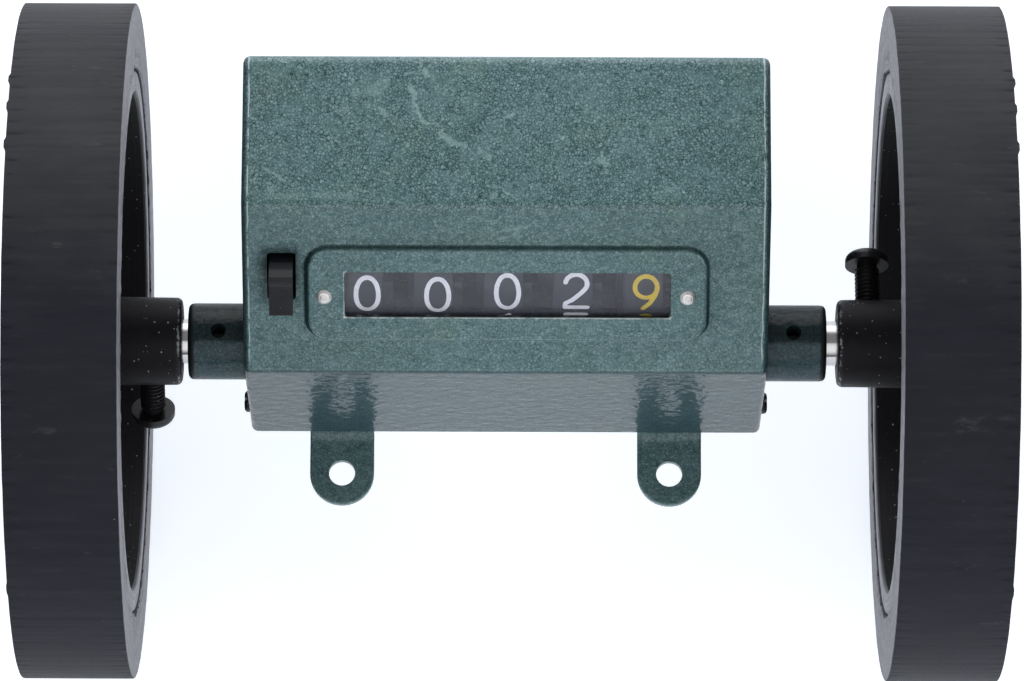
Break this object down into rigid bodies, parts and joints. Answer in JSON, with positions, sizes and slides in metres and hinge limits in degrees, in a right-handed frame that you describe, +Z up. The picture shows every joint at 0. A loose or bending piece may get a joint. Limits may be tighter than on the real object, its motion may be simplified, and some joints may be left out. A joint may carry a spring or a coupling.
{
  "type": "cable length counter",
  "caption": "Wheel-driven length counter: sheet-metal counter body with number wheels and reset lever on a through shaft, a rubber-tyred measuring wheel at each end.",
  "frame": {"origin": "on the shaft axis, midway between the two measuring wheels, which is also the centre of the bounding box", "axes": "+X along the shaft to the right as seen from the front, -Y to the front where the feet and the number window are, +Z up"},
  "size_m": [0.1526, 0.1062, 0.1062],
  "materials": {
    "hammertone": "hammertone enamel, semi-gloss",
    "black_steel": "black oxide, satin",
    "sintered": "dark oiled sintered metal",
    "ground_steel": "ground",
    "zinc_steel": "zinc plated, satin",
    "rivet_metal": "bright, domed by the set",
    "brass": "machined",
    "wheel_plastic": "moulded, satin",
    "tyre_rubber": "moulded, fine cross lines, dusty",
    "drum_plastic": "moulded",
    "lever_plastic": "moulded",
    "lens": "clear sheet"
  },
  "bodies": {
    "housing_body": {"housing": "hammertone", "base_plate": "hammertone", "bearing_boss_left": "hammertone", "bearing_boss_right": "hammertone", "bearing_bush_left": "sintered", "bearing_bush_right": "sintered", "counter_frame": "zinc_steel", "window_lens": "lens", "window_rivets": "rivet_metal", "side_screws": "black_steel", "rear_screws": "black_steel", "frame_screws": "zinc_steel", "number_wheel_axle": "ground_steel", "carry_pinion_axle": "ground_steel", "axle_clips": "black_steel", "axle_spacers": "brass", "reset_spring": "ground_steel"},
    "wheels_and_shaft": {"drive_shaft": "ground_steel", "shaft_retaining_rings": "black_steel", "thrust_washers": "brass", "wheel_left": "wheel_plastic", "wheel_right": "wheel_plastic", "tyre_left": "tyre_rubber", "tyre_right": "tyre_rubber", "hub_screws": "black_steel"},
    "units": {"units_wheel": "drum_plastic", "units_drive_gear": "drum_plastic"},
    "tens": {"tens_wheel": "drum_plastic"},
    "hundreds": {"hundreds_wheel": "drum_plastic"},
    "thousands": {"thousands_wheel": "drum_plastic"},
    "ten_thousands": {"ten_thousands_wheel": "drum_plastic"},
    "pinion_1": {"carry_pinion_1": "drum_plastic"},
    "pinion_2": {"carry_pinion_2": "drum_plastic"},
    "pinion_3": {"carry_pinion_3": "drum_plastic"},
    "pinion_4": {"carry_pinion_4": "drum_plastic"},
    "reset": {"reset_rod": "ground_steel", "reset_rod_clip": "black_steel", "reset_hammers": "zinc_steel", "reset_lever": "lever_plastic"}
  },
  "joints": [
    {"name": "shaft_spin", "type": "hinge", "parent": "housing_body", "child": "wheels_and_shaft", "pos_m": [0, 0, 0], "axis": [1, 0, 0], "continuous": true},
    {"name": "units_spin", "type": "hinge", "parent": "housing_body", "child": "units", "pos_m": [-0.0008, 0.01214, 0.00881], "axis": [1, 0, 0], "continuous": true},
    {"name": "tens_spin", "type": "hinge", "parent": "housing_body", "child": "tens", "pos_m": [-0.0008, 0.01214, 0.00881], "axis": [1, 0, 0], "continuous": true},
    {"name": "hundreds_spin", "type": "hinge", "parent": "housing_body", "child": "hundreds", "pos_m": [-0.0008, 0.01214, 0.00881], "axis": [1, 0, 0], "continuous": true},
    {"name": "thousands_spin", "type": "hinge", "parent": "housing_body", "child": "thousands", "pos_m": [-0.0008, 0.01214, 0.00881], "axis": [1, 0, 0], "continuous": true},
    {"name": "ten_thousands_spin", "type": "hinge", "parent": "housing_body", "child": "ten_thousands", "pos_m": [-0.0008, 0.01214, 0.00881], "axis": [1, 0, 0], "continuous": true},
    {"name": "pinion_4_spin", "type": "hinge", "parent": "housing_body", "child": "pinion_4", "pos_m": [-0.0008, 0.01214, -0.00519], "axis": [1, 0, 0], "continuous": true},
    {"name": "pinion_3_spin", "type": "hinge", "parent": "housing_body", "child": "pinion_3", "pos_m": [-0.0008, 0.01214, -0.00519], "axis": [1, 0, 0], "continuous": true},
    {"name": "pinion_2_spin", "type": "hinge", "parent": "housing_body", "child": "pinion_2", "pos_m": [-0.0008, 0.01214, -0.00519], "axis": [1, 0, 0], "continuous": true},
    {"name": "pinion_1_spin", "type": "hinge", "parent": "housing_body", "child": "pinion_1", "pos_m": [-0.0008, 0.01214, -0.00519], "axis": [1, 0, 0], "continuous": true},
    {"name": "reset_press", "type": "hinge", "parent": "housing_body", "child": "reset", "pos_m": [-0.0008, 0.02704, 0.00881], "axis": [1, 0, 0], "range_deg": [0, 8], "stiffness_Nm_per_rad": 0.05, "springref_deg": -20.05, "deforming": ["reset_spring"]}
  ],
  "couplings": [
    {"joint": "units_spin", "follows": "shaft_spin", "ratio": -0.33333},
    {"joint": "tens_spin", "follows": "shaft_spin", "ratio": -0.033333},
    {"joint": "hundreds_spin", "follows": "shaft_spin", "ratio": -0.0033333},
    {"joint": "thousands_spin", "follows": "shaft_spin", "ratio": -0.00033333},
    {"joint": "ten_thousands_spin", "follows": "shaft_spin", "ratio": -0.000033333},
    {"joint": "pinion_4_spin", "follows": "shaft_spin", "ratio": 0.083333},
    {"joint": "pinion_3_spin", "follows": "shaft_spin", "ratio": 0.0083333},
    {"joint": "pinion_2_spin", "follows": "shaft_spin", "ratio": 0.00083333},
    {"joint": "pinion_1_spin", "follows": "shaft_spin", "ratio": 0.000083333}
  ]
}
